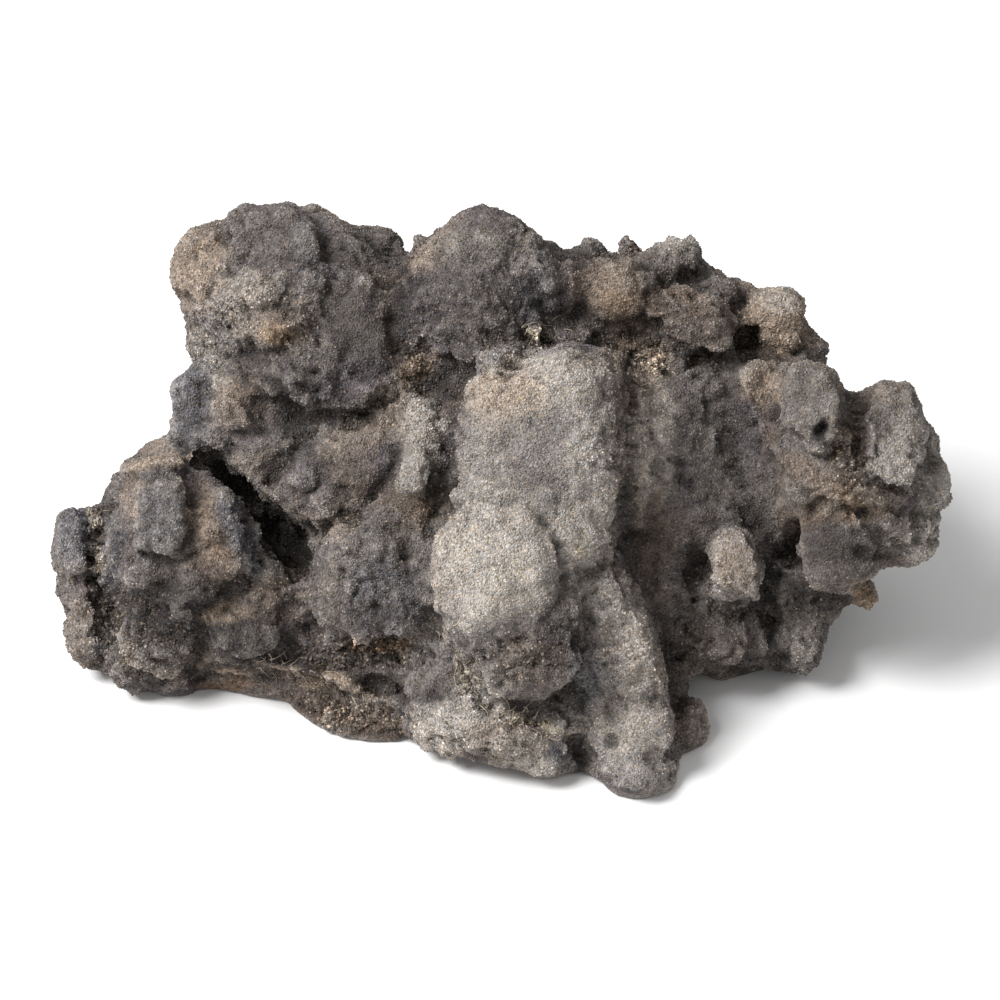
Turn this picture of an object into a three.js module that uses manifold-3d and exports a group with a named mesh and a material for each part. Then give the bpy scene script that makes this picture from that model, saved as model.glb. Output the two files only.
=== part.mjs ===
// A lump of ironstone, 300 mm long: a knobbly boulder of iron-cemented sand grown together from rounded
// nodules, with crevices, pockets and ledges between them. It lies on the worn flats under its feet.
//
// The stone is one solid. Its nodules are ellipsoids that melt into each other, and a closed skin of
// triangles is shrunk onto the surface that they make together. The sharpest knobs are joined to that skin,
// the crevices and pockets are cut into it, and its feet are cut flat at the ground.
//
// Frame: millimetres, +X along the stone's length, +Y away from its show face, +Z up, origin at the middle of
// the box round it, on the ground.

import * as THREE from "three";
import { ImprovedNoise } from "three/addons/math/ImprovedNoise.js";
import { mergeVertices } from "three/addons/utils/BufferGeometryUtils.js";
import Module from "manifold-3d";

// ---------------------------------------------------------------- driving dimensions

const LENGTH = 300; // the finished stone's length along X, to which the whole of it is scaled
const SHOW_TILT = 38; // degrees by which the show face leans back: its "out" points this far upwards
const CENTRE_HEIGHT = 70; // height of the show frame's origin above the ground
const MELT = 4; // how far round a joint two nodules melt into each other, unless a nodule says otherwise
const MOUNDS = [
  // [wave, height]: the stone's own small mounds, from broad to fine
  [44, 5],
  [21, 3],
];
const MOUND_SHARPNESS = 0.003; // the smaller, the sharper the creases between the mounds
const MOUND_LEVEL = 0.5; // share of its height by which a mound's crease lies below the nodules' surface

const SKIN_DETAIL = 18; // the skin has 20 * (SKIN_DETAIL + 1)^2 triangles before its base is cut flat
const START_HALF = [175, 115, 100]; // half-axes of the ball that becomes the skin
const START_AT = [0, 12, 68]; // and its middle
const WRAP_STEPS = 110; // steps in which the skin sinks from its start onto the stone
const SETTLE_STEPS = 40; // further steps on the stone itself
const START_OFFSET = 45; // how far outside the stone it starts
const START_WIDEN = 24; // extra melt at the start, so that crevices open gradually
const LONGEST_STEP = 6; // the farthest a vertex sinks at once
const RELAX_TURNS = 3; // how often the skin is evened out at each step
const RELAX = 0.4; // how much of the way to its neighbours a vertex moves each time
const SHOW_DRAW = 0.7; // how much more the show side draws the skin's vertices, for each 100 mm outwards
const SHOW_DEPTH = 20; // beyond this far outwards it draws no more

const PEBBLE_BULGE = 0.3; // how far from a plain ellipsoid a knob or a cleft is
const PEBBLE_WAVE = 1.3; // how many of its bulges it has for each of its half-axes
const SMALL_PEBBLE = 11; // those of a smaller mean half-axis than this get coarser triangles

const GROUND_SIZE = 500; // width and length of the block that cuts the feet flat
const GROUND_DEPTH = 100;
const SAME_POINT = 1e-5; // vertices closer than this are one

// ---------------------------------------------------------------- nodules and crevices

// In the show frame: right, up and out from its origin, in mm, then the half-axes along the same three, the
// turn anticlockwise in the show face in degrees, how square it is (2 is an ellipsoid) and its melt.

// The two-headed boss at the top left, with a small ear and two small beads on its right shoulder.
const CROWN = [
  { at: [-72, 65, -29], half: [35, 33, 33] },
  { at: [-70, 86.5, -37], half: [17, 15, 20] },
  { at: [-92, 81.5, -31], half: [15, 15, 17] },
  { at: [-105, 73, -31], half: [6, 9, 9], melt: 3 },
  { at: [-89, 54, -26], half: [9, 15, 18], turn: 20 },
  { at: [-51, 68, -24], half: [17, 19, 22] },
  { at: [-62, 46, -14], half: [25, 14, 20], turn: 18 },
  { at: [-50, 82, -48], half: [8, 8, 10], melt: 2 },
  { at: [-39, 84, -50], half: [8, 9, 10], melt: 1.5 },
];

// The broad dome right of it, and the valley between the two.
const DOME = [
  { at: [-5, 67, -23], half: [28, 31, 31] },
  { at: [-22, 73, -28], half: [12, 15, 20] },
  { at: [14, 69, -27], half: [12, 14, 18] },
  { at: [-31, 46, -20], half: [14, 13, 17], melt: 6 },
];

// Low lumps below the crown, on the left.
const LEFT_SHELF = [
  { at: [-84, 27, -24], half: [18, 18, 24] },
  { at: [-86, 38, -13], half: [10, 9, 11], melt: 2 },
  { at: [-102, 34, -28], half: [9, 12, 11], melt: 2 },
  { at: [-97, 20, -22], half: [11, 8, 12], melt: 2 },
  { at: [-78, 18, -14], half: [10, 9, 13], melt: 2 },
];

// The big lobe at the left end, knuckled on top, with a lip along its foot.
const LEFT_FIST = [
  { at: [-106, -18, -20], half: [22, 32, 28] },
  { at: [-84, -26, -18], half: [14, 22, 21], turn: 30 },
  { at: [-119, -3, -29], half: [15, 16, 18] },
  { at: [-136, -47, -36], half: [10, 15, 14] },
  { at: [-117, -49, -28], half: [17, 13.5, 20] },
  { at: [-106, -59, -36], half: [15, 7, 12], melt: 3 },
  { at: [-90, -56, -32], half: [16, 9, 14], melt: 3 },
  { at: [-139, -16, -32], half: [12, 13, 14], melt: 2 },
  { at: [-113, -3, 0], half: [10, 13, 10], melt: 2 },
  { at: [-94, -11, 0], half: [9, 14, 10], melt: 2 },
  { at: [-125, -20, -6], half: [8, 10, 10], melt: 2 },
  { at: [-101, -34, 2], half: [11, 11, 9], melt: 2 },
  { at: [-84, -44, -14], half: [15, 11, 15], melt: 2 },
];

// A smooth slanting slab in the middle of the left half.
const SLAB = [
  { at: [-56, 11, -20], half: [21, 22, 26], turn: 15 },
  { at: [-37, 13, -14], half: [18, 23, 22] },
  { at: [-38, -8, -4], half: [14, 13, 18], turn: 20 },
  { at: [-64, 4, -11], half: [16, 8, 16], turn: -46, melt: 2 },
];

// The dome under the slab, and the ledge that juts out below it.
const LOW_DOME = [
  { at: [-43, -29, -9], half: [21, 25, 28] },
  { at: [-26, -22, -2], half: [12, 22, 20] },
  { at: [-59, -40, -18], half: [9, 14, 17], turn: 15 },
  { at: [-46, -73, -24], half: [22, 10.5, 20], turn: -12, melt: 2 },
  { at: [-42, -76, -20], half: [13, 9, 14], melt: 2 },
  { at: [-78, -60, -34], half: [18, 6, 14], melt: 3 },
  { at: [-56, -58, -20], half: [22, 8, 16], turn: -12 },
];

// The pale spine down the middle, its egg-shaped belly, the skirt below and the foot right of that.
const SPINE = [
  { at: [15, 27, 0], half: [26, 24, 27], square: 4 },
  { at: [-7, 19, -4], half: [9, 23, 20], melt: 3 },
  { at: [14, 6, -1], half: [25, 24, 23], square: 3.5, melt: 5 },
  { at: [31, 5, 0], half: [9, 21, 21], melt: 3 },
  { at: [33, -10, 7], half: [7, 10, 10], melt: 2 },
  { at: [18, -8, 6], half: [17, 22, 22], melt: 8 },
  { at: [-3, -28, 18], half: [20, 26, 25], melt: 3 },
  { at: [6, -48, 10], half: [20, 17, 24] },
  { at: [33, -38, 1], half: [15, 25, 23], turn: 20, melt: 3 },
  { at: [42, -60, -2], half: [13, 16, 18], turn: 15, melt: 3 },
  { at: [45, -78, -2], half: [14, 18, 17] },
  { at: [44, -89.5, 6.5], half: [13.5, 14, 15], melt: 3 },
  { at: [61, -76, -17], half: [9, 10, 13], turn: 25, melt: 2 },
  { at: [0, -73.5, -1], half: [31, 14.5, 22], turn: -8 },
  { at: [-22, -67, -4], half: [11, 16, 18] },
  { at: [22, -84, -1], half: [10, 9, 11], melt: 2 },
];

// The hollow right of the spine.
const SADDLE = [
  { at: [57, 20, -28], half: [22, 34, 24], melt: 8 },
  { at: [62, -14, -28], half: [24, 34, 27], melt: 8 },
  { at: [73, -44, -38], half: [26, 18, 21], melt: 4 },
  { at: [80, -44, -28], half: [10, 16, 15] },
];

// Knobs along the top edge, behind the hollow.
const TOP_CLUSTER = [
  { at: [47, 60, -40], half: [32, 15, 20], melt: 4 },
  { at: [40, 71, -22], half: [12, 12.5, 14], melt: 1.5 },
  { at: [59, 79.5, -37], half: [10, 10.5, 12], melt: 1.5 },
  { at: [46, 82, -42], half: [9, 7, 10], melt: 1.5 },
  { at: [34, 78, -42], half: [10, 8, 10], melt: 1.5 },
  { at: [66, 59, -25], half: [16, 11.5, 16], turn: -25, melt: 1.5 },
  { at: [76, 66.5, -42], half: [7, 7.5, 10], melt: 1.5 },
  { at: [90.5, 56.5, -38], half: [12.5, 12.5, 14], melt: 2 },
  { at: [101, 49, -42], half: [11, 9, 12], melt: 3 },
];

// The big lobe at the right end, knuckled all round, and the leg that comes down from it.
const RIGHT_FIST = [
  { at: [110, 9, -15], half: [29, 28, 28] },
  { at: [91, 34, -18], half: [14, 13, 16] },
  { at: [126, 22, -22], half: [12, 14, 14] },
  { at: [104, 28, 3], half: [11.5, 16, 13], melt: 1.5 },
  { at: [130, 30, -20], half: [11.5, 11.5, 12], melt: 2 },
  { at: [130, 13, -3], half: [10, 12, 12], melt: 1.5 },
  { at: [139, 7, -22], half: [9, 15, 13] },
  { at: [137, -14.5, -20], half: [11, 9.5, 12], melt: 2 },
  { at: [121, -18, -18], half: [14, 8, 12], melt: 3 },
  { at: [112, -18, -9], half: [20, 14, 18], turn: 15, melt: 3 },
  { at: [99, -45, -36], half: [10, 17, 15], turn: -10 },
  { at: [112, -29, -34], half: [12, 9, 10], turn: 35 },
];

// Knobs, which stand out from the skin with sharp creases round them: one on the left shelf, one on the slab,
// one on the spine's top, the pale finger in the hollow and one below the right lobe.
const KNOBS = [
  { at: [-107, 18, -27], half: [5, 4.5, 5] },
  { at: [-30, 7, 6.5], half: [6.5, 9, 8], turn: -10 },
  { at: [12, 51, -8], half: [6, 5, 6] },
  { at: [79, -21.5, -8.5], half: [9.5, 12, 13], turn: -4, square: 4 },
  { at: [121, -31, -34], half: [7, 6, 5], turn: -30 },
];

// Clefts and pockets, cut into it: first the forked crevice between slab and left lobe, last the bites out of
// the outline at the top right and beside the foot.
const CLEFTS = [
  { at: [-98, 12, -9], half: [13, 3, 16], turn: -33 },
  { at: [-84, 2, -11], half: [14, 4, 20], turn: -45 },
  { at: [-71, -13, -13], half: [16, 6.5, 24], turn: -55 },
  { at: [-60, -9, -4], half: [7, 2.5, 12], turn: 10 },
  { at: [-69, 30, 0], half: [6, 2.5, 8], turn: -25 },
  { at: [-23, 39, 0], half: [6, 4.5, 6] },
  { at: [-131, -17, -12], half: [2.5, 14, 10], turn: 5 },
  { at: [-42, -61, -2], half: [16, 3, 14], turn: -12 },
  { at: [-31, -82, -6], half: [2.5, 7, 12] },
  { at: [29, -86, 12], half: [2.5, 8, 9] },
  { at: [4, -65, 30], half: [6, 2.5, 6] },
  { at: [79, -37, -2], half: [8, 2.5, 10] },
  { at: [66, -25, -5], half: [3, 8, 7], turn: 8 },
  { at: [83, 50, -20], half: [3, 8, 12] },
  { at: [90, -42, -14], half: [2.5, 15, 9], turn: 4 },
  { at: [95, -20, 0], half: [3, 9, 12], turn: 12 },
  { at: [49, 46, -2], half: [6, 5, 9] },
  { at: [77, 82, -42], half: [8, 7.5, 18] },
  { at: [72, -66, -20], half: [12.5, 5.5, 40], turn: -30 },
];

// The body that holds the lobes together, in the part's own frame: X, Y and Z before the stone is centred.
const BODY = [
  { at: [-10, 30, 50], half: [100, 44, 46], melt: 12 },
  { at: [-72, 46, 44], half: [30, 28, 42], melt: 8 },
  { at: [0, 54, 46], half: [40, 28, 46], melt: 8 },
  { at: [72, 42, 40], half: [38, 28, 38], melt: 8 },
];

// The back's nodules, in the same frame. The three squarer ones are its feet.
const BACK = [
  { at: [-85, 62, 80], half: [18, 18, 19] },
  { at: [-60, 72, 88], half: [20, 15, 20] },
  { at: [-4, 70, 98], half: [22, 18, 20] },
  { at: [26, 76, 74], half: [18, 16, 17] },
  { at: [58, 70, 78], half: [17, 15, 16] },
  { at: [92, 54, 62], half: [18, 17, 18] },
  { at: [120, 28, 52], half: [17, 19, 20] },
  { at: [-114, 34, 44], half: [18, 21, 22] },
  { at: [-94, 62, 42], half: [19, 17, 24] },
  { at: [-56, 78, 52], half: [20, 15, 24] },
  { at: [-58, 68, 17], half: [27, 22, 27], square: 2.5 },
  { at: [-30, 84, 66], half: [15, 13, 16] },
  { at: [-10, 84, 44], half: [18, 15, 20] },
  { at: [16, 72, 17], half: [29, 21, 27], square: 2.5 },
  { at: [50, 82, 50], half: [17, 13, 19] },
  { at: [66, 70, 30], half: [18, 15, 22] },
  { at: [94, 44, 17], half: [26, 22, 27], square: 2.5 },
  { at: [104, 52, 38], half: [16, 15, 20] },
];

// Clefts in the back.
const BACK_CLEFTS = [
  { at: [-76, 82, 62], half: [3.5, 14, 17] },
  { at: [6, 96, 62], half: [13, 14, 4] },
  { at: [36, 94, 36], half: [3.5, 13, 16] },
  { at: [84, 78, 44], half: [13, 12, 3.5] },
  { at: [-26, 94, 26], half: [3, 16, 16] },
];

// ---------------------------------------------------------------- the field

const noise = new ImprovedNoise();
const partFrame = new THREE.Matrix4();
const showFrame = new THREE.Matrix4().makeRotationX(THREE.MathUtils.degToRad(90 - SHOW_TILT));
showFrame.setPosition(0, 0, CENTRE_HEIGHT);
const showOut = new THREE.Vector3().setFromMatrixColumn(showFrame, 2);

// What the field needs of a nodule: its middle, the matrix into its own axes, and how far it reaches at most.
function placed({ at, half, turn = 0, square = 2, melt = MELT }, frame) {
  const own = new THREE.Matrix4()
    .makeTranslation(...at)
    .multiply(new THREE.Matrix4().makeRotationZ(THREE.MathUtils.degToRad(turn)));
  const outward = frame.clone().multiply(own);
  const centre = new THREE.Vector3().setFromMatrixPosition(outward);
  return { centre, inward: outward.invert().elements, half, square, melt, reach: Math.max(...half) };
}

const shown = [CROWN, DOME, LEFT_SHELF, LEFT_FIST, SLAB, LOW_DOME, SPINE, SADDLE, TOP_CLUSTER, RIGHT_FIST];
const nodules = [
  ...[BODY, BACK].flat().map((one) => placed(one, partFrame)),
  ...shown.flat().map((one) => placed(one, showFrame)),
];

// Roughly how far (x, y, z) lies outside an ellipsoid; below zero inside it.
function distance({ inward: m, half, square }, x, y, z) {
  const a = Math.abs(m[0] * x + m[4] * y + m[8] * z + m[12]) / half[0];
  const b = Math.abs(m[1] * x + m[5] * y + m[9] * z + m[13]) / half[1];
  const c = Math.abs(m[2] * x + m[6] * y + m[10] * z + m[14]) / half[2];
  if (square === 2) {
    const size = Math.sqrt(a * a + b * b + c * c);
    const [u, v, w] = [a / half[0], b / half[1], c / half[2]];
    return ((size - 1) * size) / (Math.sqrt(u * u + v * v + w * w) + 1e-12);
  }
  const power = square - 1;
  const size = (a ** square + b ** square + c ** square) ** (1 / square);
  const slope = Math.hypot(a ** power / half[0], b ** power / half[1], c ** power / half[2]);
  return ((size - 1) * size ** power) / (slope + 1e-12);
}

// The smaller of a and b, rounded off over the width melt.
function melted(a, b, melt) {
  const near = Math.max(melt - Math.abs(a - b), 0);
  return Math.min(a, b) - (near * near) / (4 * melt);
}

// How far the mounds raise the surface at (x, y, z). They are round on top, with creases between them.
function mounds(x, y, z) {
  let sum = 0;
  MOUNDS.forEach(([wave, height], octave) => {
    const wander = noise.noise(x / wave + 7.3 * octave, y / wave + 3.1, z / wave - 5.7 * octave);
    sum += height * (2 * Math.sqrt(wander * wander + MOUND_SHARPNESS) - MOUND_LEVEL);
  });
  return sum;
}

// The stone's surface is where this is zero: below zero is stone. widen above zero melts everything more.
function field(x, y, z, widen = 0) {
  const gapTo = ({ centre, reach }) => {
    const [u, v, w] = [x - centre.x, y - centre.y, z - centre.z];
    return Math.sqrt(u * u + v * v + w * w) - reach;
  };
  let d = 1e3;
  for (const one of nodules)
    if (gapTo(one) < d + one.melt + widen) d = melted(d, distance(one, x, y, z), one.melt + widen);
  return d - mounds(x, y, z);
}

// ---------------------------------------------------------------- the skin

function neighboursOf(index, count) {
  const found = Array.from({ length: count }, () => []);
  for (let i = 0; i < index.length; i += 3) {
    found[index[i]].push(index[i + 1]);
    found[index[i + 1]].push(index[i + 2]);
    found[index[i + 2]].push(index[i]);
  }
  return found;
}

const edgeA = new THREE.Vector3();
const edgeB = new THREE.Vector3();

// The angle of a triangle's corner at apex, between its sides to a and b.
function angleAt(apex, a, b) {
  return edgeA.subVectors(a, apex).angleTo(edgeB.subVectors(b, apex));
}

// The way triangle a, b, c faces.
function facing(a, b, c) {
  edgeA.subVectors(b, a);
  return new THREE.Vector3().crossVectors(edgeA, edgeB.subVectors(c, a)).normalize();
}

// Where two triangles share the longer diagonal of the four-sided patch they make, gives them the shorter
// one, unless that would fold the patch.
function turnDiagonals(index, points) {
  const slack = 0.05; // radians by which a diagonal has to be the longer one
  const flatness = 0.5; // cosine of the sharpest fold that a turned diagonal may make
  const key = (a, b) => a * points.length + b;
  const cornerOf = new Map();
  for (let i = 0; i < index.length; i++) {
    const next = i % 3 === 2 ? i - 2 : i + 1;
    cornerOf.set(key(index[i], index[next]), i);
  }
  const done = new Set();
  for (const [edge, i] of cornerOf) {
    const a = Math.floor(edge / points.length);
    const b = edge % points.length;
    const j = cornerOf.get(key(b, a));
    const t = i - (i % 3);
    const u = j - (j % 3);
    if (a > b || done.has(t) || done.has(u)) continue;
    const c = index[t + ((i + 2) % 3)];
    const d = index[u + ((j + 2) % 3)];
    const [pa, pb, pc, pd] = [points[a], points[b], points[c], points[d]];
    if (cornerOf.has(key(c, d)) || cornerOf.has(key(d, c))) continue;
    if (angleAt(pc, pa, pb) + angleAt(pd, pa, pb) < Math.PI + slack) continue;
    if (facing(pa, pd, pc).dot(facing(pd, pb, pc)) < flatness) continue;
    index.set([a, d, c], t);
    index.set([d, b, c], u);
    done.add(t).add(u);
  }
}

// Moves each vertex along the field's slope until the field there is level.
function sinkTo(points, level, widen) {
  const e = 0.4; // how far apart the field is read for its slope
  const gentlest = 0.5; // a slope below this counts as this
  for (const p of points) {
    const d = field(p.x, p.y, p.z, widen) - level;
    const gx = field(p.x + e, p.y, p.z, widen) - level - d;
    const gy = field(p.x, p.y + e, p.z, widen) - level - d;
    const gz = field(p.x, p.y, p.z + e, widen) - level - d;
    const length = Math.hypot(gx, gy, gz) + 1e-9;
    const slope = Math.max(length / e, gentlest);
    const step = THREE.MathUtils.clamp(d / slope, -LONGEST_STEP, LONGEST_STEP) / length;
    p.x -= gx * step;
    p.y -= gy * step;
    p.z -= gz * step;
  }
}

// Moves each vertex towards its neighbours, most towards those farthest off, so that the triangles stay even
// and never fold. The show side pulls a little harder, and so ends up with smaller triangles.
function relax(points, neighbours) {
  const draw = points.map((p) => Math.exp((SHOW_DRAW * Math.min(p.dot(showOut), SHOW_DEPTH)) / 100));
  const aims = points.map((p, i) => {
    const aim = new THREE.Vector3();
    let total = 0;
    for (const j of neighbours[i]) {
      const pull = p.distanceToSquared(points[j]) * draw[j];
      aim.addScaledVector(points[j], pull);
      total += pull;
    }
    return aim.divideScalar(total);
  });
  points.forEach((p, i) => p.lerp(aims[i], RELAX));
}

// A closed geometry whose triangles share their corners.
function sharedCorners(geometry) {
  geometry.deleteAttribute("normal");
  geometry.deleteAttribute("uv");
  return mergeVertices(geometry, SAME_POINT);
}

// A ball round the whole stone that sinks onto it step by step, evened out all the way down.
function wrappedSkin() {
  const skin = sharedCorners(new THREE.IcosahedronGeometry(1, SKIN_DETAIL));
  skin.scale(...START_HALF);
  skin.translate(...START_AT);
  const position = skin.attributes.position;
  const index = skin.index.array;
  const points = Array.from({ length: position.count }, (_, i) =>
    new THREE.Vector3().fromBufferAttribute(position, i),
  );
  for (let i = 0; i <= WRAP_STEPS + SETTLE_STEPS; i++) {
    turnDiagonals(index, points);
    const neighbours = neighboursOf(index, points.length);
    const left = Math.max(1 - i / WRAP_STEPS, 0);
    for (let k = 0; k < RELAX_TURNS; k++) relax(points, neighbours);
    sinkTo(points, START_OFFSET * left, START_WIDEN * left);
  }
  sinkTo(points, 0, 0);
  relax(points, neighboursOf(index, points.length));
  points.forEach((p, i) => position.setXYZ(i, p.x, p.y, p.z));
  return skin;
}

// ---------------------------------------------------------------- the solid

const wasm = await Module();
wasm.setup();

const solidOf = (geometry) =>
  new wasm.Manifold(
    new wasm.Mesh({
      numProp: 3,
      vertProperties: new Float32Array(geometry.attributes.position.array),
      triVerts: new Uint32Array(geometry.index.array),
    }),
  );

function geometryOf(solid) {
  const mesh = solid.getMesh();
  const geometry = new THREE.BufferGeometry();
  geometry.setAttribute("position", new THREE.BufferAttribute(mesh.vertProperties, mesh.numProp));
  geometry.setIndex(new THREE.BufferAttribute(mesh.triVerts, 1));
  return geometry;
}

// A pebble of the given half-axes, unevenly round or squarish, standing where its entry in a list says.
function pebble({ at, half, turn = 0, square = 2 }, frame = showFrame) {
  const detail = Math.cbrt(half[0] * half[1] * half[2]) < SMALL_PEBBLE ? 1 : 2;
  const skin = sharedCorners(new THREE.IcosahedronGeometry(1, detail));
  const position = skin.attributes.position;
  const p = new THREE.Vector3();
  for (let i = 0; i < position.count; i++) {
    p.fromBufferAttribute(position, i);
    const [u, v, w] = [PEBBLE_WAVE * p.x + at[0], PEBBLE_WAVE * p.y + at[1], PEBBLE_WAVE * p.z + at[2]];
    const bulge = noise.noise(u, v, w);
    const [a, b, c] = p.toArray().map(Math.abs);
    const size = (a ** square + b ** square + c ** square) ** (1 / square);
    p.multiplyScalar((1 + PEBBLE_BULGE * bulge) / size);
    position.setXYZ(i, p.x, p.y, p.z);
  }
  skin.scale(...half);
  skin.rotateZ(THREE.MathUtils.degToRad(turn));
  skin.translate(...at);
  skin.applyMatrix4(frame);
  return solidOf(skin);
}

// A block whose top face is the ground.
function groundBlock() {
  const block = sharedCorners(new THREE.BoxGeometry(GROUND_SIZE, GROUND_SIZE, GROUND_DEPTH));
  block.translate(0, 0, -GROUND_DEPTH / 2);
  return solidOf(block);
}

function ironstone() {
  let stone = solidOf(wrappedSkin());
  for (const one of KNOBS) stone = stone.add(pebble(one));
  for (const one of CLEFTS) stone = stone.subtract(pebble(one));
  for (const one of BACK_CLEFTS) stone = stone.subtract(pebble(one, partFrame));
  const geometry = geometryOf(stone.subtract(groundBlock()));
  geometry.computeBoundingBox();
  const middle = geometry.boundingBox.getCenter(new THREE.Vector3());
  const scale = LENGTH / (geometry.boundingBox.max.x - geometry.boundingBox.min.x);
  geometry.translate(-middle.x, -middle.y, 0);
  geometry.scale(scale, scale, scale);
  const material = new THREE.MeshStandardMaterial({ color: 0x6e665e, roughness: 0.95, metalness: 0 });
  const mesh = new THREE.Mesh(geometry, material);
  mesh.name = "ironstone";
  return mesh;
}

const part = new THREE.Group();
part.add(ironstone());

export default part;
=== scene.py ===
"""A lump of ironstone on a pale studio floor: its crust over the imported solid, and its sand."""

import math
from functools import partial

import bmesh
import bpy
import numpy as np
from bpy.props import FloatProperty, FloatVectorProperty, IntProperty, PointerProperty
from bpy.types import Operator, Panel, PropertyGroup
from mathutils import Matrix, Vector, noise
from mathutils.bvhtree import BVHTree


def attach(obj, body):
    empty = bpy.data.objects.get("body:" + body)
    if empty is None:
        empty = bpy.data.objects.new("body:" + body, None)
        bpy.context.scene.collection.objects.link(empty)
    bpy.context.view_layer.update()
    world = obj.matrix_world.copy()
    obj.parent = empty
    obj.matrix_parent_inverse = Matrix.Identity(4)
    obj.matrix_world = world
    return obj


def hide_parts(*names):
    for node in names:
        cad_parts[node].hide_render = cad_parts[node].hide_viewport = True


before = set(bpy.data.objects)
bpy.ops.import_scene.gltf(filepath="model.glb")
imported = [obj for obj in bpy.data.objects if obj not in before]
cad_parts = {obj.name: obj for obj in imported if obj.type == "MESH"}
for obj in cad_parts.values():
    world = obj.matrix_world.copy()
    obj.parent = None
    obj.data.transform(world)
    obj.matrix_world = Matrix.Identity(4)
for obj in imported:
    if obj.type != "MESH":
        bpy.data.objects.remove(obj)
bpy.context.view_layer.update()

bl_info = {
    "name": "Ironstone",
    "version": (1, 0, 0),
    "blender": (4, 5, 0),
    "location": "3D View > Sidebar > Ironstone",
    "description": "Models the crust, the sand and the stage of a lump of ironstone",
    "category": "Add Mesh",
}

MM = 0.001
NODE = "ironstone"

# ---- the show view

# The stone is laid out as it is seen from its show side: right and up in millimetres from the
# sight point.
SIGHT = Vector((0.00016, -0.01514, 0.070))
TILT = math.radians(38)
BACK = Vector((0, -math.cos(TILT), math.sin(TILT)))
RIGHT = Vector((1, 0, 0))
UP = Vector((0, math.sin(TILT), math.cos(TILT)))
DISTANCE = 1.8
FILM_WIDTH = 36  # millimetres
WIDTH_SEEN = 0.3282  # metres across the picture at the sight point
PLANE = 1 / 1.01  # the sight plane's millimetres for each millimetre of the layout

EYE = SIGHT + BACK * DISTANCE


def show_places(points):
    """Where points appear in the show view: their right and up, in the layout's millimetres."""
    ray = points - np.array(EYE)
    depth = -ray @ np.array(BACK)
    hit = ray * (DISTANCE / depth)[:, None] + np.array(EYE - SIGHT)
    return hit @ np.array(RIGHT) / MM / PLANE, hit @ np.array(UP) / MM / PLANE


def sight_place(right, up):
    """The place at right and up of the layout, in the plane through the sight point."""
    return SIGHT + (RIGHT * right + UP * up) * (MM * PLANE)


def skin_behind(tree, place):
    """Where the line of sight through a place meets the skin, or None."""
    return tree.ray_cast(EYE, (place - EYE).normalized())[0]


def facing(normals, slope, start):
    """How far each normal turns to the show view, from 0 to 1: start where it is seen edge on."""
    return np.clip(normals @ np.array(BACK) * slope + start, 0, 1)


# ---- sculpting

# Work on the show side, in the layout's millimetres. A ledge has its raised lip on the left of its
# path and the drop on its right. A slot is cut straight in from the show side. A pit of a depth
# below zero swells. Ovals are right, up, half-axes across and up, and a turn in degrees if any.
LEDGES = [
    # path, lip, drop, width of the lip, width of the drop
    # the crown: its lower edge, the ridge across it
    ([(-98, 50), (-88, 45), (-80, 37), (-66, 29), (-53, 29.5), (-42, 34),
      (-35, 41)], 1.8, 6.5, 6, 6),
    ([(-84, 47), (-71, 53), (-61, 64), (-57, 76), (-61, 90)], 1, 1.8, 5, 9),
    # the dome's lower edge
    ([(-29, 54), (-17, 47), (-2, 46), (8, 52)], 2, 5, 7, 6),
    # the left end: its flank, its flat face, its overhanging foot
    ([(-66, -30), (-76, -19), (-79, -12), (-84, -2), (-93, 6), (-104, 14),
      (-120, 13)], 1.4, 2, 6, 3),
    ([(-105, -20), (-102.5, -12), (-103, 0), (-105, 8), (-113, 8.5), (-121, 7),
      (-125, -4)], 0.8, 1.4, 4, 3),
    ([(-128, -29), (-114, -35), (-101, -34), (-88, -28), (-82, -26)], 0.8, 2.4, 5, 5),
    ([(-99, -47), (-92, -52), (-80, -53), (-70, -50)], 0.8, 3, 5, 4),
    # the low dome's overhanging edge, and the ledge below it
    ([(-64, -36), (-59, -42), (-48, -46), (-37, -46), (-28, -42)], 2, 6.5, 6, 6),
    ([(-102, -59), (-85, -59), (-70, -57), (-52, -63), (-36, -69)], 1.6, 3, 5, 6),
    # the spine, all the way round: down its left side with the belly, up its right side
    ([(12, 50), (0, 47), (-10, 42), (-14, 31), (-16, 17), (-14, 5), (-15, -4), (-21, -14),
      (-23, -28), (-20, -42), (-14, -54), (-5, -66), (6, -73), (20, -78)], 1.3, 3.4, 5, 4.5),
    ([(60, -78), (56, -64), (51, -50), (44, -36), (37, -22), (38, -8), (40, 8), (41, 24),
      (38, 40), (32, 48), (22, 51), (10, 50)], 1.3, 3, 4, 5),
    ([(-9, -60), (-3, -65), (5, -68), (16, -66), (24, -58)], 1.2, 3.2, 5, 3),
    # the knob at the top, the finger
    ([(30, 58), (40, 55), (51, 60)], 1, 4, 5, 5),
    ([(70, -12), (69, -22), (70, -33), (79, -36), (87, -33), (88.5, -22),
      (86, -11)], 0.6, 3.4, 4, 4),
    # the right end: its upper lobe, its tan ledge, its lower lobe
    ([(93, 47), (91, 37), (93, 26), (99, 17), (109, 14), (116, 20)], 1, 2.6, 5, 5),
    ([(93, 22), (96, 10), (104, 1), (117, -1), (130, -3)], 1.4, 2, 4, 5),
    ([(83, 46), (80, 36), (84, 25), (90, 14), (93, 4), (95, -8)], 1.4, 3.2, 6, 7),
    ([(124, 38), (121, 27), (123, 14), (129, 4), (137, 3)], 1.2, 2.2, 5, 4),
    ([(97, -4), (97, -18), (101, -27), (112, -33), (125, -28)], 1, 4, 6, 5),
]
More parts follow.
